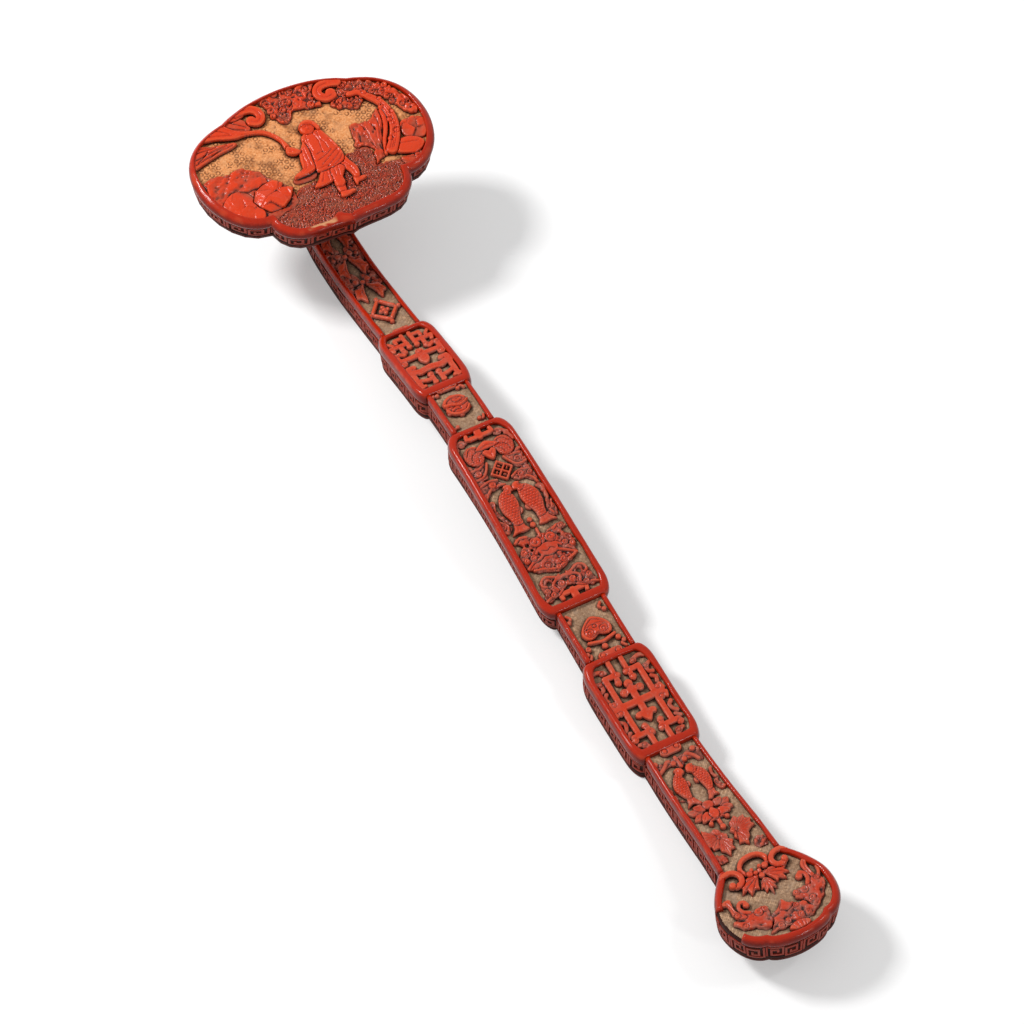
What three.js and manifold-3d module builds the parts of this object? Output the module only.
// A carved cinnabar-lacquer ruyi scepter: a long S-curved shaft with a trefoil terminal at one end and a
// wide cloud-shaped head, raised on a hooked neck, at the other. A wooden core carries the lacquer: a back
// skin, key-fret side bands, a buff ground, and the red relief of rails, frames and motifs cut above it.
// Millimetres, +Z up, +Y from the terminal to the head. The origin is on the floor under the middle.
import * as THREE from 'three';
import { mergeVertices } from 'three/addons/utils/BufferGeometryUtils.js';
import Module from 'manifold-3d';

const wasm = await Module();
wasm.setup();

// Layers of the lacquer over the core.
const SEAM = 0.3;
const GROUND_THICK = 0.7;
const CORE_THICK = 8.3;
const BACK_THICK = 1.4;
const BAND_THICK = 1.2;
const RELIEF_HEIGHT = 1.5;
const RELIEF_CHAMFER = 0.35;

// Long profile of the shaft, from the terminal's tip to the neck's foot: shares of the run, shares of the
// bow's rise above its rests, and the slope there.
const SHAFT_RUN = 359;
const SHAFT_BOW = 14.9;
const PROFILE = [
  { along: 0, lift: 0.7785, slope: -0.15 },
  { along: 0.1039, lift: 0.3826, slope: -0.16 },
  { along: 0.2368, lift: 0, slope: 0 },
  { along: 0.2758, lift: 0, slope: 0 },
  { along: 0.378, lift: 0.1678, slope: 0.09 },
  { along: 0.4421, lift: 0.3221, slope: 0.13 },
  { along: 0.5501, lift: 0.7315, slope: 0.15 },
  { along: 0.6769, lift: 1, slope: 0.01 },
  { along: 0.7939, lift: 0.7383, slope: -0.2 },
  { along: 0.8989, lift: 0.2416, slope: -0.16 },
  { along: 0.9777, lift: 0, slope: 0 },
  { along: 1, lift: 0, slope: 0 },
].map(({ along, lift, slope }) => ({ y: along * SHAFT_RUN, rise: lift * SHAFT_BOW, slope }));
const JUNCTION_KNOT = 1;
const STATION_STEP = 14;

// Neck: it hooks up under the head until it stands square to the head's tilted back.
const NECK_RADIUS = 26;
const NECK_STRAIGHT = 0.9;
const NECK_STEPS = 6;
const TENON_LENGTH = 6;
const TENON_HALF = 4.5;

// Panels along the shaft, from the terminal to the head, with their half widths.
const TAIL_LENGTH = 54.8;
const NEAR_PANEL_LENGTH = 44;
const NEAR_STRIP_LENGTH = 23;
const CENTRE_PANEL_LENGTH = 84.8;
const FAR_STRIP_LENGTH = 21.3;
const FAR_PANEL_LENGTH = 40.4;
const JUNCTION_HALF = 12;
const TAIL_HALF = 10.4;
const NEAR_STRIP_HALF = 10.1;
const FAR_STRIP_HALF = 8.9;
const NECK_HALF = 8.6;
const NEAR_PANEL_HALF = 13.5;
const CENTRE_PANEL_NEAR_HALF = 14.2;
const CENTRE_PANEL_FAR_HALF = 13;
const FAR_PANEL_HALF = 11.6;
const PANEL_CORNER = 6;
const CORNER_STEPS = 3;

// The sides lean in towards the back, most of all by the centre panel, and the terminal sits off the line.
const SIDE_LEAN = 1.6;
const LEAN_MIDDLE = 145;
const LEAN_REACH = 58;
const SWAY = -1.1;
const SWAY_START = 14;
const SWAY_END = -12;

// Borders: the rails beside the strips and the frames round the panels.
const RAIL_WIDTH = 2.4;
const RAIL_HEIGHT = 1.7;
const FRAME_WIDTH = 3.3;
const FRAME_HEIGHT = 2.3;

// Terminal.
const TERMINAL_HALF = 21.4;
const TERMINAL_LENGTH = 39;
const TERMINAL_TUCK = 1.7;
const TERMINAL_NOTCH_HALF = 12.4;
const TERMINAL_NOTCH_BACK = 3.6;
const TERMINAL_RIM_WIDTH = 3.2;
const TERMINAL_RIM_HEIGHT = 2;

// Head, in its own tilted plane: u across, v towards the back.
const HEAD_TILT = 7.4;
const HEAD_HALF = 48.9;
const HEAD_FRONT = 35;
const HEAD_BACK = 35;
const HEAD_NOTCH_U = 29.7;
const HEAD_NOTCH_V = -22.7;
const HEAD_SHOULDER_U = 27;
const HEAD_SHOULDER_V = 28.6;
const HEAD_LEAN = 1.1;
const LOBE_LIFT = 3.2;
const LOBE_START = 18;
const HEAD_CORE_THICK = 6.2;
const HEAD_BACK_THICK = 1.2;
const HEAD_RIM_WIDTH = 4.6;
const HEAD_RIM_HEIGHT = 2.6;
const NECK_SEAT_V = 8.2;
const CHIP_START = -19;
const CHIP_END = -6;
const CHIP_DROP = 1.3;

// Levels of the layers, measured from the top of the ground.
const CORE_TOP = -GROUND_THICK - SEAM;
const CORE_BOTTOM = CORE_TOP - CORE_THICK;
const BACK_TOP = CORE_BOTTOM - SEAM;
const BACK_BOTTOM = BACK_TOP - BACK_THICK;
const HEAD_CORE_BOTTOM = CORE_TOP - HEAD_CORE_THICK;
const HEAD_BACK_TOP = HEAD_CORE_BOTTOM - SEAM;
const HEAD_BACK_BOTTOM = HEAD_BACK_TOP - HEAD_BACK_THICK;
const RELIEF_TOP = SEAM + RELIEF_HEIGHT;

const lacquerRed = new THREE.MeshStandardMaterial({ color: 0xc23a1e, roughness: 0.35, metalness: 0 });
const lacquerDark = new THREE.MeshStandardMaterial({ color: 0x8e3a2e, roughness: 0.5, metalness: 0 });
const lacquerBuff = new THREE.MeshStandardMaterial({ color: 0xb79a78, roughness: 0.7, metalness: 0 });
const lacquerOchre = new THREE.MeshStandardMaterial({ color: 0xc98a4e, roughness: 0.65, metalness: 0 });
const wood = new THREE.MeshStandardMaterial({ color: 0x9a7048, roughness: 0.8, metalness: 0 });

const scepter = new THREE.Group();
const head = new THREE.Group();
scepter.add(head);

function addMesh(group, name, geometry, material) {
  const mesh = new THREE.Mesh(geometry, material);
  mesh.name = name;
  group.add(mesh);
  return mesh;
}

// The shaft's long path: stations with a place, a normal and a distance from the terminal's junction.

function hermite(from, to, share) {
  const span = to.y - from.y;
  const square = share * share;
  const cube = square * share;
  const rise = from.rise * (2 * cube - 3 * square + 1) + to.rise * (3 * square - 2 * cube)
    + span * (from.slope * (cube - 2 * square + share) + to.slope * (cube - square));
  const slope = (from.rise - to.rise) * (6 * square - 6 * share) / span
    + from.slope * (3 * square - 4 * share + 1) + to.slope * (3 * square - 2 * share);
  return { y: from.y + span * share, rise, slope };
}

function stationAt(y, z, angle) {
  return { y, z, normalY: -Math.sin(angle), normalZ: Math.cos(angle) };
}

function longPath() {
  const rest = -BACK_BOTTOM;
  const stations = [];
  let junctionIndex = 0;
  for (let i = 0; i + 1 < PROFILE.length; i += 1) {
    if (i === JUNCTION_KNOT) junctionIndex = stations.length;
    const steps = Math.max(1, Math.round((PROFILE[i + 1].y - PROFILE[i].y) / STATION_STEP));
    for (let k = 0; k < steps; k += 1) {
      const knot = hermite(PROFILE[i], PROFILE[i + 1], k / steps);
      stations.push(stationAt(knot.y, knot.rise + rest, Math.atan(knot.slope)));
    }
  }
  const turn = Math.PI / 2 + THREE.MathUtils.degToRad(HEAD_TILT);
  const start = PROFILE[PROFILE.length - 1];
  const centreZ = start.rise + rest + NECK_RADIUS;
  for (let k = 0; k <= NECK_STEPS; k += 1) {
    const angle = turn * k / NECK_STEPS;
    const y = start.y + NECK_RADIUS * Math.sin(angle);
    stations.push(stationAt(y, centreZ - NECK_RADIUS * Math.cos(angle), angle));
  }
  for (const length of [NECK_STRAIGHT, NECK_STRAIGHT + TENON_LENGTH]) {
    const end = stations[stations.length - (length === NECK_STRAIGHT ? 1 : 2)];
    stations.push(stationAt(end.y + length * Math.cos(turn), end.z + length * Math.sin(turn), turn));
  }
  let distance = 0;
  stations.forEach((station, i) => {
    if (i > 0) distance += Math.hypot(station.y - stations[i - 1].y, station.z - stations[i - 1].z);
    station.s = distance;
  });
  const zero = stations[junctionIndex].s;
  for (const station of stations) station.s -= zero;
  return stations;
}

const stations = longPath();
const pathEnd = stations[stations.length - 2];
const tenonEnd = stations[stations.length - 1];

function leanAt(s, height) {
  const share = Math.max(0, 1 - ((s - LEAN_MIDDLE) / LEAN_REACH) ** 2);
  return SIDE_LEAN * share * THREE.MathUtils.clamp(height / BACK_BOTTOM, 0, 1);
}

function swayAt(s) {
  return SWAY * THREE.MathUtils.clamp((SWAY_START - s) / (SWAY_START - SWAY_END), 0, 1);
}

// The terminal draws in towards its back all round.
function tuckAt(s, height) {
  const along = THREE.MathUtils.clamp(-s / TERMINAL_LENGTH, 0, 1);
  return along * THREE.MathUtils.clamp(height / BACK_BOTTOM, 0, 1);
}

function bentPoint(u, drawnS, height) {
  const tuck = TERMINAL_TUCK * tuckAt(drawnS, height);
  const s = drawnS + tuck;
  let i = 0;
  while (i + 2 < stations.length && stations[i + 1].s < s) i += 1;
  const from = stations[i];
  const to = stations[i + 1];
  const share = (s - from.s) / (to.s - from.s);
  const mix = (key) => from[key] + (to[key] - from[key]) * share;
  const lean = leanAt(drawnS, height) / CENTRE_PANEL_NEAR_HALF + tuck / TERMINAL_HALF;
  const across = u * (1 - lean) + swayAt(drawnS);
  return [across, mix('y') + height * mix('normalY'), mix('z') + height * mix('normalZ')];
}

// Closed solids as points [u, s, height] and triangles, still flat.

function turnedOut(points, triangles) {
  let volume = 0;
  for (const [a, b, c] of triangles) {
    const [p, q, r] = [points[a], points[b], points[c]];
    volume += p[0] * (q[1] * r[2] - q[2] * r[1]) - p[1] * (q[0] * r[2] - q[2] * r[0])
      + p[2] * (q[0] * r[1] - q[1] * r[0]);
  }
  const faces = volume < 0 ? triangles.map(([a, b, c]) => [a, c, b]) : triangles;
  return { points, triangles: faces };
}

function wallBetween(lower, upper, count) {
  const faces = [];
  for (let i = 0; i < count; i += 1) {
    const j = (i + 1) % count;
    faces.push([lower + i, lower + j, upper + j], [lower + i, upper + j, upper + i]);
  }
  return faces;
}

function inset(outline, distance) {
  const count = outline.length;
  return outline.map((point, i) => {
    const before = outline[(i + count - 1) % count];
    const after = outline[(i + 1) % count];
    const first = new THREE.Vector2(before.y - point.y, point.x - before.x).normalize();
    const second = new THREE.Vector2(point.y - after.y, after.x - point.x).normalize();
    const spread = Math.max(0.4, 1 + first.dot(second));
    return point.clone().addScaledVector(first.add(second), distance / spread);
  });
}

function counterClockwise(outline) {
  return THREE.ShapeUtils.area(outline) < 0 ? [...outline].reverse() : outline;
}

// A capped stack of rings, each the outline drawn in by an inset at a height.
function stack(drawn, levels) {
  const outline = counterClockwise(drawn);
  const count = outline.length;
  const points = [];
  const triangles = [];
  levels.forEach((level, k) => {
    for (const point of inset(outline, level.inset)) points.push([point.x, point.y, level.height]);
    if (k > 0) triangles.push(...wallBetween((k - 1) * count, k * count, count));
  });
  const top = (levels.length - 1) * count;
  for (const [a, b, c] of THREE.ShapeUtils.triangulateShape(outline, [])) {
    const [p, q, r] = [outline[a], outline[b], outline[c]];
    const left = (q.x - p.x) * (r.y - p.y) - (q.y - p.y) * (r.x - p.x) > 0;
    const face = left ? [a, b, c] : [a, c, b];
    triangles.push([face[0], face[2], face[1]], face.map((i) => top + i));
  }
  return turnedOut(points, triangles);
}

function slab(outline, bottom, top) {
  return stack(outline, [{ inset: 0, height: bottom }, { inset: 0, height: top }]);
}

function crossingAt(from, to, s) {
  return from.clone().lerp(to, (s - from.y) / (to.y - from.y));
}

// Pairs of points on two edges, with one more pair wherever a station crosses both.
function pairedAlong(edge, other) {
  const pairs = [[edge[0], other[0]]];
  for (let i = 1; i < edge.length; i += 1) {
    const [from, to] = [pairs[pairs.length - 1], [edge[i], other[i]]];
    const low = Math.max(Math.min(from[0].y, to[0].y), Math.min(from[1].y, to[1].y));
    const high = Math.min(Math.max(from[0].y, to[0].y), Math.max(from[1].y, to[1].y));
    const crossed = stations.map((station) => station.s).filter((s) => s > low && s < high);
    if (to[0].y < from[0].y) crossed.reverse();
    for (const s of crossed) pairs.push([0, 1].map((side) => crossingAt(from[side], to[side], s)));
    pairs.push(to);
  }
  return pairs;
}

// A strip between two edges that run side by side, point for point.
function ribbon(edge, other, bottom, top) {
  const points = [];
  const triangles = [];
  const pairs = pairedAlong(edge, other);
  pairs.forEach(([point, opposite], i) => {
    for (const [place, height] of [[point, bottom], [opposite, bottom], [opposite, top], [point, top]]) {
      points.push([place.x, place.y, height]);
    }
    if (i > 0) triangles.push(...wallBetween(4 * i - 4, 4 * i, 4));
  });
  const last = 4 * (pairs.length - 1);
  triangles.push([0, 2, 1], [0, 3, 2], [last, last + 1, last + 2], [last, last + 2, last + 3]);
  return turnedOut(points, triangles);
}

// A carved motif: upright sides with a chamfered top edge.
function motif(outline, height = RELIEF_HEIGHT) {
  return stack(outline, [
    { inset: 0, height: SEAM },
    { inset: 0, height: SEAM + height - RELIEF_CHAMFER },
    { inset: RELIEF_CHAMFER, height: SEAM + height },
  ]);
}

// A motif with crisp edges, for frets and stems.
function crispMotif(outline) {
  return slab(outline, SEAM, RELIEF_TOP);
}

// A closed border: a section of insets and heights carried round an outline that can be drawn in.
function border(loopDrawnIn, section) {
  const count = loopDrawnIn(0).length;
  const points = [];
  const triangles = [];
  section.forEach((corner, k) => {
    for (const point of loopDrawnIn(corner.inset)) points.push([point.x, point.y, corner.height]);
    triangles.push(...wallBetween(k * count, ((k + 1) % section.length) * count, count));
  });
  return turnedOut(points, triangles);
}

function borderSection(width, height) {
  return [
    { inset: 0, height: SEAM },
    { inset: 0.15 * width, height: SEAM + 0.5 * height },
    { inset: 0.5 * width, height: SEAM + height },
    { inset: width, height: SEAM + height },
    { inset: width, height: SEAM },
  ];
}

function toManifold(solid) {
  const vertProperties = new Float32Array(solid.points.flat());
  const triVerts = new Uint32Array(solid.triangles.flat());
  return new wasm.Manifold(new wasm.Mesh({ numProp: 3, vertProperties, triVerts }));
}

function fromManifold(manifold) {
  const mesh = manifold.getMesh();
  const points = [];
  const triangles = [];
  for (let i = 0; i < mesh.vertProperties.length; i += mesh.numProp) {
    points.push(Array.from(mesh.vertProperties.slice(i, i + 3)));
  }
  for (let i = 0; i < mesh.triVerts.length; i += 3) triangles.push(Array.from(mesh.triVerts.slice(i, i + 3)));
  return { points, triangles };
}

function joined(solids) {
  return fromManifold(solids.map(toManifold).reduce((whole, next) => whole.add(next)));
}

function cutFrom(solid, cutters) {
  const start = toManifold(solid);
  return fromManifold(cutters.map(toManifold).reduce((left, cutter) => left.subtract(cutter), start));
}

// Cuts every triangle along one station, so that bending leaves flat facets between stations.
function slicedAt(solid, s) {
  const points = [...solid.points];
  const middles = new Map();
  const near = 1e-6;
  const side = (i) => (Math.abs(points[i][1] - s) < near ? 0 : Math.sign(points[i][1] - s));
  const middle = (a, b) => {
    const key = a < b ? `${a}_${b}` : `${b}_${a}`;
    if (!middles.has(key)) {
      const [from, to] = a < b ? [points[a], points[b]] : [points[b], points[a]];
      const share = (s - from[1]) / (to[1] - from[1]);
      middles.set(key, points.length);
      points.push([from[0] + (to[0] - from[0]) * share, s, from[2] + (to[2] - from[2]) * share]);
    }
    return middles.get(key);
  };
  const triangles = [];
  for (const face of solid.triangles) {
    const sides = face.map(side);
    if (!sides.includes(1) || !sides.includes(-1)) {
      triangles.push(face);
      continue;
    }
    const lone = sides.includes(0) ? sides.indexOf(0)
      : sides.findIndex((value) => sides.filter((other) => other === value).length === 1);
    const [a, b, c] = [face[lone], face[(lone + 1) % 3], face[(lone + 2) % 3]];
    if (sides[lone] === 0) {
      const m = middle(b, c);
      triangles.push([a, b, m], [a, m, c]);
    } else {
      const m = middle(a, b);
      const n = middle(c, a);
      triangles.push([a, m, n], [m, b, c], [m, c, n]);
    }
  }
  return { points, triangles };
}

function asGeometry(points, triangles) {
  const geometry = new THREE.BufferGeometry();
  geometry.setAttribute('position', new THREE.Float32BufferAttribute(points.flat(), 3));
  geometry.setIndex(triangles.flat());
  const whole = mergeVertices(geometry, 1e-4);
  whole.computeVertexNormals();
  return whole;
}

function bent(solid) {
  const reach = solid.points.map((point) => point[1]);
  const low = Math.min(...reach);
  const high = Math.max(...reach);
  const crossed = stations.filter((station) => station.s > low && station.s < high);
  const sliced = crossed.reduce((part, station) => slicedAt(part, station.s), solid);
  return asGeometry(sliced.points.map((point) => bentPoint(...point)), sliced.triangles);
}

function addBent(name, solid, material) {
  addMesh(scepter, name, bent(solid), material);
}

function addFlat(name, solid, material) {
  addMesh(head, name, asGeometry(solid.points, solid.triangles), material);
}

// Drawing: curves, strokes and lobed masses in the plane of a panel.

function at(u, v) {
  return new THREE.Vector2(u, v);
}

function smoothLoop(corners, steps) {
  const loop = corners.map(([u, v]) => new THREE.Vector3(u, v, 0));
  const curve = new THREE.CatmullRomCurve3(loop, true, 'centripetal');
  return curve.getPoints(steps).slice(0, -1).map((point) => at(point.x, point.y));
}

function smoothLine(corners, steps) {
  const line = corners.map(([u, v]) => new THREE.Vector3(u, v, 0));
  const curve = new THREE.CatmullRomCurve3(line, false, 'centripetal');
  return curve.getPoints(steps).map((point) => at(point.x, point.y));
}

// The outline of a stroke along a line, whose half width runs from one end's to the other's.
function stroke(line, startHalf, endHalf = startHalf) {
  const left = [];
  const right = [];
  line.forEach((point, i) => {
    const before = line[Math.max(0, i - 1)];
    const after = line[Math.min(line.length - 1, i + 1)];
    const across = at(before.y - after.y, after.x - before.x).normalize();
    let half = startHalf + (endHalf - startHalf) * i / (line.length - 1);
    if (i > 0 && i + 1 < line.length) {
      const run = point.clone().sub(before).normalize();
      half /= Math.max(0.7, Math.abs(run.x * across.y - run.y * across.x));
    }
    left.push(point.clone().addScaledVector(across, half));
    right.push(point.clone().addScaledVector(across, -half));
  });
  return [...left, ...right.reverse()];
}

function bar(fromU, fromV, toU, toV, half) {
  return stroke([at(fromU, fromV), at(toU, toV)], half);
}

function lobed(centreU, centreV, radiusU, radiusV, lobes, depth, steps = 4) {
  const outline = [];
  for (let i = 0; i < lobes * steps; i += 1) {
    const angle = 2 * Math.PI * i / (lobes * steps);
    const reach = 1 - depth * (1 - Math.abs(Math.sin(angle * lobes / 2)));
    const u = centreU + radiusU * reach * Math.cos(angle);
    outline.push(at(u, centreV + radiusV * reach * Math.sin(angle)));
  }
  return outline;
}

function mirrored(outline) {
  return outline.map((point) => at(-point.x, point.y)).reverse();
}

function moved(outline, u, v) {
  return outline.map((point) => at(point.x + u, point.y + v));
}

function bothSides(half) {
  return [...half, ...mirrored(half)];
}

// The shaft's plan: where each panel starts and ends, and the right-hand edge all along.

const tailEnd = TAIL_LENGTH;
const nearPanelEnd = tailEnd + NEAR_PANEL_LENGTH;
const nearStripEnd = nearPanelEnd + NEAR_STRIP_LENGTH;
const centrePanelEnd = nearStripEnd + CENTRE_PANEL_LENGTH;
const farStripEnd = centrePanelEnd + FAR_STRIP_LENGTH;
const farPanelEnd = farStripEnd + FAR_PANEL_LENGTH;

const strips = [
  { name: 'tail', from: 0, to: tailEnd, fromHalf: JUNCTION_HALF, toHalf: TAIL_HALF },
  {
    name: 'near_strip', from: nearPanelEnd, to: nearStripEnd,
    fromHalf: NEAR_STRIP_HALF, toHalf: NEAR_STRIP_HALF,
  },
  {
    name: 'far_strip', from: centrePanelEnd, to: farStripEnd,
    fromHalf: FAR_STRIP_HALF, toHalf: FAR_STRIP_HALF,
  },
  { name: 'neck', from: farPanelEnd, to: pathEnd.s, fromHalf: NECK_HALF, toHalf: NECK_HALF },
];
const panels = [
  { name: 'near', from: tailEnd, to: nearPanelEnd, fromHalf: NEAR_PANEL_HALF, toHalf: NEAR_PANEL_HALF },
  {
    name: 'centre', from: nearStripEnd, to: centrePanelEnd,
    fromHalf: CENTRE_PANEL_NEAR_HALF, toHalf: CENTRE_PANEL_FAR_HALF,
  },
  { name: 'far', from: farStripEnd, to: farPanelEnd, fromHalf: FAR_PANEL_HALF, toHalf: FAR_PANEL_HALF },
];

// One long side of a panel with its rounded corners, drawn in by a distance all round.
function panelSide(index, distance = 0) {
  const panel = panels[index];
  const ends = [
    { s: panel.from + distance, inwards: 1, half: panel.fromHalf, stripHalf: strips[index].toHalf },
    { s: panel.to - distance, inwards: -1, half: panel.toHalf, stripHalf: strips[index + 1].fromHalf },
  ];
  const corners = ends.map((end) => {
    const corner = [];
    for (let k = 0; k <= CORNER_STEPS; k += 1) {
      const angle = Math.PI / 2 * k / CORNER_STEPS;
      const half = end.stripHalf + (end.half - end.stripHalf) * Math.sin(angle) - distance;
      corner.push(at(half, end.s + end.inwards * PANEL_CORNER * (1 - Math.cos(angle))));
    }
    return corner;
  });
  return [...corners[0], ...corners[1].reverse()];
}

function panelLoop(index, distance) {
  return bothSides(panelSide(index, distance));
}

const panelSides = panels.map((panel, index) => panelSide(index));

// The terminal's edge from the tip to the junction, on the right: a front lobe, a notch and a side lobe.
function terminalEdge() {
  const tip = -TERMINAL_LENGTH;
  const notch = at(TERMINAL_NOTCH_HALF, tip + TERMINAL_NOTCH_BACK);
  const middle = at(TERMINAL_HALF, 0.52 * tip);
  const lip = at(0.86 * notch.x, 0.97 * tip);
  const junction = at(JUNCTION_HALF, 0.03 * tip);
  const shoulder = at(0.72 * middle.x, 0.14 * tip);
  const front = new THREE.CubicBezierCurve(at(0, tip), at(0.4 * notch.x, tip), lip, notch);
  const swell = at(middle.x, 0.74 * tip);
  const outer = new THREE.CubicBezierCurve(notch, at(0.82 * middle.x, 0.98 * notch.y), swell, middle);
  const inner = new THREE.CubicBezierCurve(middle, at(middle.x, 0.32 * tip), shoulder, junction);
  return [...front.getPoints(5).slice(1), ...outer.getPoints(6).slice(1), ...inner.getPoints(6).slice(1)];
}

const terminalSide = terminalEdge();
const shaftSide = [at(JUNCTION_HALF, 0), ...panelSides.flat(), at(NECK_HALF, pathEnd.s)];

// An edge drawn in towards the middle line, whose ends stay at the given stations.
function drawnIn(edge, distance, firstS, lastS) {
  const closed = [...edge, at(0, edge[edge.length - 1].y), at(0, edge[0].y)];
  const inner = inset(closed, distance).slice(0, edge.length);
  inner[0].y = firstS;
  inner[inner.length - 1] = at(edge[edge.length - 1].x - distance, lastS);
  return inner;
}

function acrossFrom(edge) {
  return edge.map((point) => at(-point.x, point.y));
}

function addStructure() {
  const wholeSide = [...terminalSide, ...shaftSide.slice(1)];
  addBent('back_lacquer', ribbon(wholeSide, acrossFrom(wholeSide), BACK_BOTTOM, BACK_TOP), lacquerDark);

  const wall = BAND_THICK + SEAM;
  const tipS = terminalSide[0].y;
  const innerTip = drawnIn(terminalSide, wall, tipS + wall, -SEAM);
  const innerShaft = drawnIn(shaftSide, wall, 0, pathEnd.s);
  innerShaft[0].x = JUNCTION_HALF - wall;
  const tenon = [at(TENON_HALF, pathEnd.s), at(TENON_HALF, tenonEnd.s)];
  const coreSide = [...innerTip, ...innerShaft, ...tenon];
  addBent('shaft_core', ribbon(coreSide, acrossFrom(coreSide), CORE_BOTTOM, CORE_TOP), wood);
  addBent('terminal_ground', ribbon(innerTip, acrossFrom(innerTip), -GROUND_THICK, 0), lacquerBuff);
  addBent('shaft_ground', ribbon(innerShaft, acrossFrom(innerShaft), -GROUND_THICK, 0), lacquerBuff);

  const bandInner = drawnIn(shaftSide, BAND_THICK, 0, pathEnd.s);
  bandInner[0].x = JUNCTION_HALF - BAND_THICK;
  addBent('side_band_right', ribbon(shaftSide, bandInner, CORE_BOTTOM, 0), lacquerDark);
  const leftBand = ribbon(acrossFrom(shaftSide), acrossFrom(bandInner), CORE_BOTTOM, 0);
  addBent('side_band_left', leftBand, lacquerDark);
  const tipInner = drawnIn(terminalSide, BAND_THICK, tipS + BAND_THICK, -SEAM);
  const tipOuter = [...terminalSide.slice(0, -1), at(JUNCTION_HALF, -SEAM)];
  const outerLoop = [...acrossFrom(tipOuter).reverse(), ...tipOuter];
  const innerLoop = [...acrossFrom(tipInner).reverse(), ...tipInner];
  addBent('terminal_band', ribbon(outerLoop, innerLoop, CORE_BOTTOM, 0), lacquerDark);
}

// Rails along the strips and frames round the panels.

function rail(strip) {
  const section = borderSection(RAIL_WIDTH, RAIL_HEIGHT);
  const points = [];
  const triangles = [];
  const ends = [[strip.from + SEAM, strip.fromHalf], [strip.to - SEAM, strip.toHalf]];
  const crossed = stations.map((station) => station.s).filter((s) => s > ends[0][0] && s < ends[1][0]);
  const runs = [ends[0][0], ...crossed, ends[1][0]];
  runs.forEach((s, i) => {
    const share = (s - strip.from) / (strip.to - strip.from);
    const half = strip.fromHalf + (strip.toHalf - strip.fromHalf) * share;
    for (const corner of section) points.push([half - corner.inset, s, corner.height]);
    if (i > 0) triangles.push(...wallBetween((i - 1) * section.length, i * section.length, section.length));
  });
  const last = (runs.length - 1) * section.length;
  for (let k = 1; k + 1 < section.length; k += 1) {
    triangles.push([0, k + 1, k], [last, last + k, last + k + 1]);
  }
  return turnedOut(points, triangles);
}

function flipped(solid) {
  const points = solid.points.map(([u, s, height]) => [-u, s, height]);
  return turnedOut(points, solid.triangles);
}

function addBorders() {
  for (const strip of strips) {
    const right = rail(strip);
    addBent(`${strip.name}_rail_right`, right, lacquerRed);
    addBent(`${strip.name}_rail_left`, flipped(right), lacquerRed);
  }
  panels.forEach((panel, i) => {
    const frame = border((distance) => panelLoop(i, distance), borderSection(FRAME_WIDTH, FRAME_HEIGHT));
    addBent(`${panel.name}_frame`, frame, lacquerRed);
  });
}

// Motifs on the shaft. Each is drawn about its own panel's middle and moved there.

const FRET_HALF = 0.9;
const LOZENGE_WIDTH = 1.3;
const FISH_LENGTH = 20;
const FISH_BREADTH = 3.1;

// The centre panel's motifs are drawn on one 28.4 wide and 84.8 long, and the head's scene on a head
// 97.8 wide and 70 deep: these fit them to the sizes above.
const centreAcross = CENTRE_PANEL_NEAR_HALF / 14.2;
const centreAlong = CENTRE_PANEL_LENGTH / 84.8;
const sceneAcross = HEAD_HALF / 48.9;
const sceneAlong = (HEAD_FRONT + HEAD_BACK) / 70;

// A motif's outlines, drawn on a panel or head of one size, fitted to another.
function fitted(outlines, acrossBy, alongBy) {
  return outlines.map((outline) => outline.map((point) => at(point.x * acrossBy, point.y * alongBy)));
}

// Joins a motif's outlines, moved to their place, and trims them to the field inside the border.
function carved(outlines, u, s, field, shape = motif) {
  const whole = joined(outlines.map((outline) => shape(moved(outline, u, s))));
  const inside = slab(field, -SEAM, RELIEF_TOP + RELIEF_HEIGHT);
  return fromManifold(toManifold(whole).intersect(toManifold(inside)));
}

function stripField(strip) {
  const fromHalf = strip.fromHalf - RAIL_WIDTH - SEAM;
  const toHalf = strip.toHalf - RAIL_WIDTH - SEAM;
  const near = strip.from + SEAM;
  const far = strip.to - SEAM;
  return [at(-fromHalf, near), at(fromHalf, near), at(toHalf, far), at(-toHalf, far)];
}

function panelField(index) {
  return panelLoop(index, FRAME_WIDTH + SEAM);
}

// An open fret: a middle bar, uprights with hooks turned in, and a stem with a bar at each end.
function fretBars(panel) {
  const reachU = panel.fromHalf - FRAME_WIDTH - 2.2;
  const reachS = (panel.to - panel.from) / 2 - FRAME_WIDTH - 2.6;
  const hookU = 0.5 * reachU;
  const hookS = 0.5 * reachS;
  const bars = [bar(-reachU, 0, reachU, 0, FRET_HALF), bar(0, -reachS, 0, reachS, FRET_HALF)];
  for (const side of [-1, 1]) {
    bars.push(bar(side * reachU, -reachS, side * reachU, reachS, FRET_HALF));
    for (const end of [-1, 1]) {
      bars.push(bar(side * (reachU + FRET_HALF), end * reachS, side * hookU, end * reachS, FRET_HALF));
      bars.push(bar(side * hookU, end * (reachS + FRET_HALF), side * hookU, end * hookS, FRET_HALF));
    }
  }
  bars.push(lobed(0, 0, 3.2, 3.2, 4, 0.2));
  return bars;
}

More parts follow.
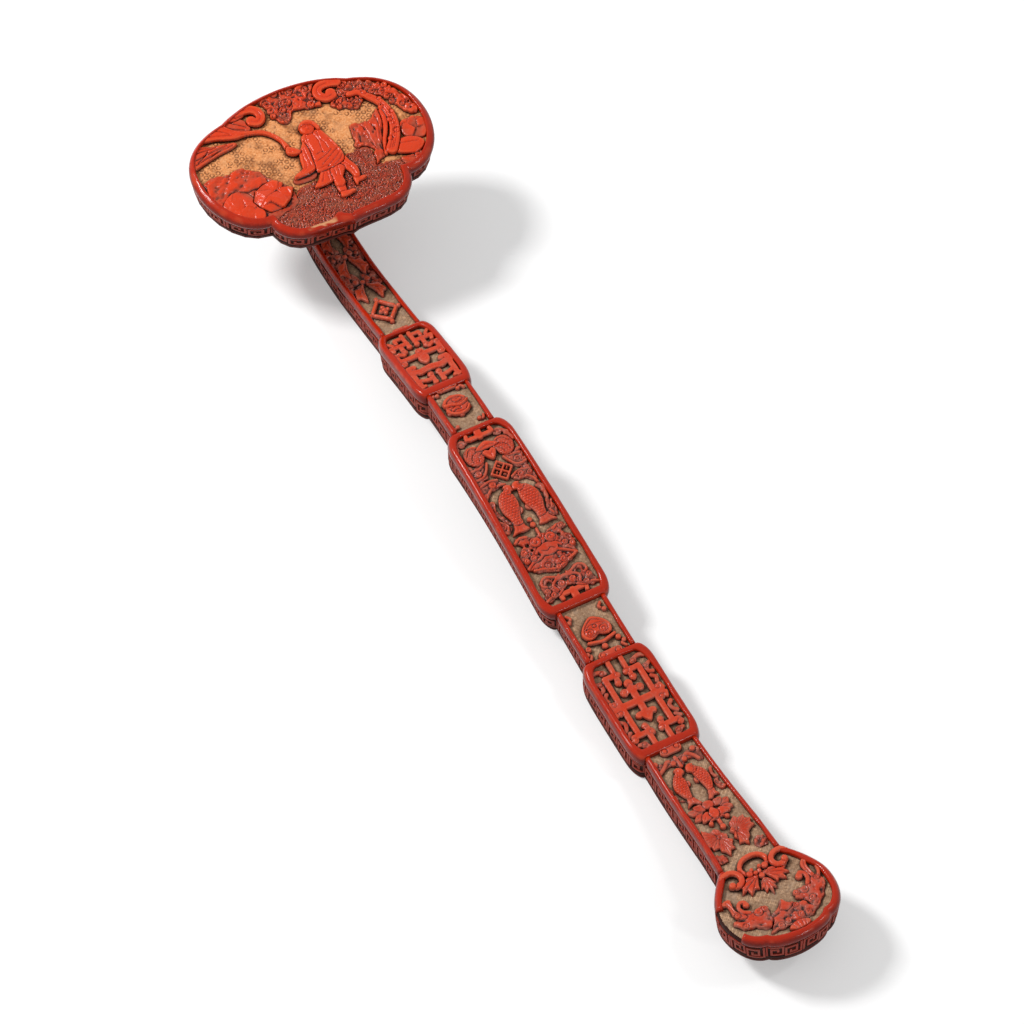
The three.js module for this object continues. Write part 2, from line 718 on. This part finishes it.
// A fish hanging by its head: the body bows outwards to a forked tail. The spine runs from head to tail.
function fishOutline(length, breadth, bow) {
  const steps = 9;
  const left = [];
  const right = [];
  for (let i = 0; i <= steps; i += 1) {
    const share = i / steps;
    const swing = bow * Math.sin(Math.PI * Math.min(1, share * 1.15)) + 0.9 * bow * share;
    const spine = at(swing, -share * length * 0.84);
    const half = breadth * (0.32 + 0.68 * Math.sin(Math.PI * Math.min(0.93, 0.12 + share * 0.84)));
    left.push(at(spine.x - half, spine.y));
    right.push(at(spine.x + half, spine.y));
  }
  const root = left[steps].clone().lerp(right[steps], 0.5);
  const fork = [[-0.85, -0.2], [0, -0.1], [0.95, -0.12]].map(
    ([u, s]) => at(root.x + u * breadth, root.y + s * length),
  );
  return [...left, ...fork, ...right.reverse()];
}

function petal(length, half, turn) {
  const leaf = [[0, 0], [half, 0.45 * length], [0.35 * half, 0.8 * length], [0, length],
    [-0.5 * half, 0.78 * length], [-half, 0.4 * length]];
  return smoothLoop(leaf, 10).map((point) => point.rotateAround(at(0, 0), turn));
}

function middleOf(panel) {
  return (panel.from + panel.to) / 2;
}

function addCentreMotifs() {
  const field = panelField(1);
  const put = (name, outlines, s) => {
    const place = middleOf(panels[1]) + s * centreAlong;
    addBent(name, carved(fitted(outlines, centreAcross, centreAlong), 0, place, field), lacquerRed);
  };
  const drawnEnd = (CENTRE_PANEL_LENGTH / 2 - FRAME_WIDTH - SEAM) / centreAlong;
  const bracket = [[-6.5, 0], [6.5, 0], [6.5, -3.2], [4.4, -3.2], [4.4, -1.7], [-4.4, -1.7], [-4.4, -3.2],
    [-6.5, -3.2]];
  const hook = bracket.map(([u, s]) => at(u, s));
  put('bracket_far', [hook], drawnEnd);
  put('bracket_near', [hook.map((point) => at(point.x, -point.y))], -drawnEnd);

  const wing = lobed(6.2, 0, 3, 2.7, 4, 0.16);
  const bat = [lobed(0, 0, 2.6, 2.9, 5, 0.18), bar(-6, 0.6, 6, 0.6, 0.9), wing, mirrored(wing)];
  put('bat', bat, 30.5);
  put('fret_square', [[at(-3, -3.4), at(3.8, -3.4), at(3.8, 3.4), at(-3, 3.4)]], 22);

  const fish = moved(fishOutline(FISH_LENGTH, FISH_BREADTH, 2.2), 3.6, 0);
  put('fish_right', [fish], 15.6);
  put('fish_left', [mirrored(fish)], 15.6);
  put('wave_cloud', [lobed(0, 0, 9, 6.4, 9, 0.16)], -15);
  put('wave_curls', [lobed(0, 0, 8.6, 5, 7, 0.2)], -28.4);
}

function addStripMotifs() {
  const [tail, nearStrip, farStrip, neck] = strips;
  for (const index of [0, 2]) {
    const bars = carved(fretBars(panels[index]), 0, middleOf(panels[index]), panelField(index), crispMotif);
    addBent(`${panels[index].name}_fret`, bars, lacquerRed);
  }
  const knot = lobed(0, 0, 5.2, 5.2, 8, 0.14);
  addBent('knot_flower', carved([knot], 0, middleOf(farStrip), stripField(farStrip)), lacquerRed);

  const cloudLobe = lobed(3, 2.4, 2.6, 2.6, 3, 0.1);
  const chime = stroke([at(-6, -5), at(0, -7.2), at(6, -5)], 1);
  const ruyi = [cloudLobe, mirrored(cloudLobe), lobed(0, 5, 2.6, 2.4, 3, 0.1), bar(0, 4, 0, -7, 1), chime];
  addBent('ruyi_chime', carved(ruyi, 0, middleOf(nearStrip), stripField(nearStrip)), lacquerRed);

  const lozenge = [at(0, -4.6), at(4.4, 0), at(0, 4.6), at(-4.4, 0)];
  const diamond = [
    { inset: 0, height: SEAM },
    { inset: 0, height: RELIEF_TOP },
    { inset: LOZENGE_WIDTH, height: RELIEF_TOP },
    { inset: LOZENGE_WIDTH, height: SEAM },
  ];
  const lozengePlace = moved(lozenge, 0, neck.from + 12);
  addBent('neck_lozenge', border((distance) => inset(lozengePlace, distance), diamond), lacquerRed);
  const spray = [bar(-3.6, -12, 3.6, 13, 0.8), bar(3.6, -12, -3.6, 13, 0.8)];
  for (const [u, s, turn] of [[1.5, -5, -0.9], [0.9, 3.4, -0.9], [1.8, 7, 0.1], [2.2, -7, -2.1]]) {
    const leaf = moved(petal(6.6, 1.9, turn), u, s);
    spray.push(leaf, mirrored(leaf));
  }
  addBent('neck_leaves', carved(spray, 0, neck.from + 35, stripField(neck), crispMotif), lacquerRed);

  const fish = moved(fishOutline(0.86 * FISH_LENGTH, 0.84 * FISH_BREADTH, 1.4), 3, 0);
  const fishTop = tail.to - 5;
  addBent('tail_fish_right', carved([fish], 0, fishTop, stripField(tail)), lacquerRed);
  addBent('tail_fish_left', carved([mirrored(fish)], 0, fishTop, stripField(tail)), lacquerRed);
  const lotus = [petal(6, 2.2, 0)];
  for (const side of [-1, 1]) lotus.push(petal(5.6, 2, side), petal(5, 1.8, 1.9 * side));
  addBent('lotus', carved(lotus, 0, tail.to - 29, stripField(tail)), lacquerRed);
  const leaves = [bar(0, 0, 0, -17, 0.8)];
  for (const [length, turn, u, s] of [[6.6, 1.2, -0.4, -4], [6.6, -1.2, 0.4, -5], [7, 1.6, -0.4, -12],
    [7, -1.7, 0.4, -13]]) {
    leaves.push(moved(petal(length, 2.4, turn), u, s));
  }
  addBent('lotus_leaves', carved(leaves, 0, tail.to - 32.5, stripField(tail), crispMotif), lacquerRed);
}

// The terminal's rim, arch scroll, leaf and pair of curled beasts.

function addTerminalMotifs() {
  const ends = [...terminalSide.slice(0, -1), at(JUNCTION_HALF + 0.6, -SEAM)];
  const inner = drawnIn(terminalSide, TERMINAL_RIM_WIDTH, terminalSide[0].y + TERMINAL_RIM_WIDTH, -SEAM);
  inner[inner.length - 1] = at(JUNCTION_HALF - TERMINAL_RIM_WIDTH, -SEAM - 1);
  const outerLoop = [...acrossFrom(ends).reverse(), ...ends];
  const innerLoop = [...acrossFrom(inner).reverse(), ...inner];
  addBent('terminal_rim', ribbon(outerLoop, innerLoop, SEAM, SEAM + TERMINAL_RIM_HEIGHT), lacquerRed);

  const clear = TERMINAL_RIM_WIDTH + SEAM;
  const fieldSide = drawnIn(terminalSide, clear, terminalSide[0].y + clear, -SEAM);
  const field = [...fieldSide, ...mirrored(fieldSide)];
  const archHalf = [[0, -1.6], [4.6, -2.4], [7.2, -5.6], [5.6, -8.4], [3.6, -6.8]];
  const arch = smoothLine([...archHalf.slice(1).reverse().map(([u, s]) => [-u, s]), ...archHalf], 26);
  addBent('arch_scroll', carved([stroke(arch, 0.85)], 0, 0, field, crispMotif), lacquerRed);
  const leafHalf = [[0, -10], [3.4, -11], [6.4, -14.4], [3.6, -15], [3, -18], [0, -20.6]];
  const leaf = [...leafHalf, ...leafHalf.slice(1, -1).reverse().map(([u, s]) => [-u, s])];
  addBent('leaf_pendant', carved([smoothLoop(leaf, 26)], 0, 0, field), lacquerRed);
  const curl = [[9, -12], [12.4, -9.4], [15.8, -13], [13.6, -18], [9.8, -22], [10, -27], [6, -29.8],
    [2.2, -27.4]];
  const beast = stroke(smoothLine(curl, 20), 1.2, 0.8);
  addBent('beast_right', carved([beast], 0, 0, field, crispMotif), lacquerRed);
  addBent('beast_left', carved([mirrored(beast)], 0, 0, field, crispMotif), lacquerRed);
}

// The head: core, skins, rim and carved scene, in the tilted plane of the group.

function headEdge() {
  const front = at(0, -HEAD_FRONT);
  const lip = at(0.57 * HEAD_NOTCH_U, -0.957 * HEAD_FRONT);
  const notch = at(HEAD_NOTCH_U, HEAD_NOTCH_V);
  const side = at(HEAD_HALF, 0.043 * HEAD_BACK);
  const shoulder = at(HEAD_SHOULDER_U, HEAD_SHOULDER_V);
  const back = at(0, HEAD_BACK);
  const curves = [
    [front, at(0.18 * lip.x, 0.994 * lip.y), at(0.59 * lip.x, 1.021 * lip.y), lip],
    [lip, at(0.82 * notch.x, 0.985 * lip.y), at(0.98 * notch.x, 0.84 * lip.y), notch],
    [notch, at(0.82 * side.x, 1.026 * notch.y), at(side.x, 0.53 * notch.y), side],
    [side, at(side.x, 0.4 * back.y), at(0.86 * side.x, 0.7 * back.y), shoulder],
    [shoulder, at(0.74 * shoulder.x, 0.937 * back.y), at(0.37 * shoulder.x, back.y), back],
  ].map((corners) => new THREE.CubicBezierCurve(...corners));
  return curves.flatMap((curve, i) => curve.getPoints(i < 2 ? 4 : 6).slice(0, -1)).concat(back);
}

const headSide = headEdge();
const headOutline = counterClockwise([...headSide, ...mirrored(headSide).slice(1, -1)]).map(lifted);

// The left lobe stands a little further back than the right.
function lifted(point) {
  const share = Math.max(0, -point.x - LOBE_START) / (HEAD_HALF - LOBE_START);
  return at(point.x, point.y + LOBE_LIFT * share * share);
}

function headLoop(distance) {
  return inset(headOutline, distance);
}

function seatHead() {
  const tilt = THREE.MathUtils.degToRad(HEAD_TILT);
  head.rotation.x = tilt;
  const underV = NECK_SEAT_V;
  const underHeight = HEAD_BACK_BOTTOM - SEAM;
  head.position.set(
    0,
    pathEnd.y - underV * Math.cos(tilt) + underHeight * Math.sin(tilt),
    pathEnd.z - underV * Math.sin(tilt) - underHeight * Math.cos(tilt),
  );
}

function addHeadStructure() {
  const tenonFront = NECK_SEAT_V - CORE_TOP - SEAM;
  const tenonBack = NECK_SEAT_V - CORE_BOTTOM + SEAM;
  const socketHalf = TENON_HALF + SEAM;
  const socket = [at(socketHalf, tenonFront), at(socketHalf, tenonBack), at(-socketHalf, tenonBack),
    at(-socketHalf, tenonFront)];
  const socketTop = HEAD_BACK_BOTTOM + TENON_LENGTH + SEAM;
  const below = HEAD_BACK_BOTTOM - BACK_THICK;
  const mortise = slab(socket, below, socketTop);
  const coreOutline = headLoop(BAND_THICK + SEAM);
  const coreBody = stack(coreOutline, [
    { inset: HEAD_LEAN, height: HEAD_CORE_BOTTOM },
    { inset: 0, height: CORE_TOP },
  ]);
  addFlat('head_core', cutFrom(coreBody, [mortise]), wood);
  const backBody = slab(headLoop(HEAD_LEAN), HEAD_BACK_BOTTOM, HEAD_BACK_TOP);
  addFlat('head_back', cutFrom(backBody, [mortise]), lacquerDark);
  const wall = [
    { inset: HEAD_LEAN, height: HEAD_CORE_BOTTOM },
    { inset: 0, height: 0 },
    { inset: BAND_THICK, height: 0 },
    { inset: BAND_THICK + HEAD_LEAN, height: HEAD_CORE_BOTTOM },
  ];
  addFlat('head_band', border(headLoop, wall), lacquerDark);
  addFlat('head_ground', slab(coreOutline, -GROUND_THICK, 0), lacquerOchre);

  const chipV = -HEAD_FRONT - 1;
  const chipInner = -HEAD_FRONT + HEAD_RIM_WIDTH + 1;
  const chip = [at(CHIP_START, chipV), at(CHIP_END, chipV), at(CHIP_END - 1.5, chipInner),
    at(CHIP_START + 2, chipInner)];
  const rimBody = border(headLoop, borderSection(HEAD_RIM_WIDTH, HEAD_RIM_HEIGHT));
  const floor = SEAM + HEAD_RIM_HEIGHT - CHIP_DROP;
  addFlat('head_rim', cutFrom(rimBody, [slab(chip, floor, RELIEF_TOP + HEAD_RIM_HEIGHT)]), lacquerRed);
}

// Pieces of the scene in order of height: each gives way, by a seam, to those already placed.
function addHeadScene() {
  const inside = headLoop(HEAD_RIM_WIDTH + SEAM);
  const field = slab(inside, -SEAM, RELIEF_TOP + RELIEF_HEIGHT);
  const placed = [];
  const place = (name, drawn, height) => {
    const outlines = fitted(drawn, sceneAcross, sceneAlong);
    const whole = joined([...outlines, outlines[0]].map((outline) => motif(outline, height)));
    const within = toManifold(whole).intersect(toManifold(field));
    addFlat(name, cutFrom(fromManifold(within), placed), lacquerRed);
    for (const outline of outlines) {
      placed.push(slab(inset(counterClockwise(outline), -SEAM), -SEAM, RELIEF_TOP + RELIEF_HEIGHT));
    }
  };
  const robe = [[4, 10.6], [-1, 9.6], [-5, 5.5], [-6.5, 2], [-9, -1], [-11, -6.5], [-7.5, -8], [-5, -14.5],
    [-0.5, -15.5], [3.5, -21], [6.5, -22], [8, -17], [13.5, -18], [14.5, -14.5], [11.5, -6], [10, 1.5],
    [7, 8]];
  place('figure_head', [lobed(1.6, 14, 3.3, 3.8, 3, 0.04)], 1.9);
  place('figure_robe', [smoothLoop(robe, 34)], 1.8);

  const branch = smoothLine([[-44, 20.4], [-33, 22], [-24, 21.6], [-14, 19], [-9.5, 13], [-8, 7]], 14);
  const spur = smoothLine([[-46, 14.6], [-34, 15.8], [-26, 16.6]], 6);
  place('cliff_branch', [stroke(branch, 4, 0.8), stroke(spur, 4.6, 0.6)]);

  const spiral = [];
  for (let i = 0; i <= 16; i += 1) {
    const angle = THREE.MathUtils.degToRad(60 + 330 * i / 16);
    const reach = 4.6 - 2.6 * i / 16;
    spiral.push(at(15.8 + reach * Math.cos(angle), 25 + reach * Math.sin(angle)));
  }
  place('scroll_right', [stroke(spiral, 1, 0.8)]);
  place('scroll_left', [mirrored(stroke(spiral, 1, 0.8))]);

  const trunk = [[23.5, -13.6], [28.5, -9], [33.4, -4], [36.4, 3], [35, 10.6], [30, 16.6], [23, 20]];
  place('pine_trunk', [stroke(smoothLine(trunk, 14), 2.8, 1.1)]);
  place('boulder', [lobed(-20.6, -11.5, 7.4, 5, 5, 0.16)]);
  place('front_rocks', [lobed(-35.6, -4, 8, 9, 7, 0.16)]);
  const crag = [[20, -7.6], [18.8, 1], [20.6, 10.6], [24.6, 11.4], [29, 5], [28, -2], [24, -7]];
  place('crag', [smoothLoop(crag, 18)]);
  const rocks = [[36, -17], [41, -13], [45, -4], [45, 3], [40.4, 2], [39, -4.4], [34.6, -9], [33, -14]];
  place('right_rocks', [smoothLoop(rocks, 20)]);
  place('pine_canopy_right', [stroke(smoothLine([[27, 25], [35.4, 21], [41.4, 12]], 12), 3.2)]);
  place('pine_canopy_back', [lobed(0.5, 25, 10.4, 5.4, 9, 0.16)]);
  const bank = [[-24, -29], [0, -33], [26, -29], [30, -19], [22, -14.6], [17.6, -9], [12.8, -6], [8, -12],
    [-3, -17], [-12, -18.6], [-24, -19.6]];
  place('bank', [smoothLoop(bank, 24)], 0.8);
}

addStructure();
addBorders();
addCentreMotifs();
addStripMotifs();
addTerminalMotifs();
seatHead();
addHeadStructure();
addHeadScene();

// The length lies centred over the origin.
const extent = new THREE.Box3().setFromObject(scepter);
scepter.position.y = -(extent.min.y + extent.max.y) / 2;

export default scepter;
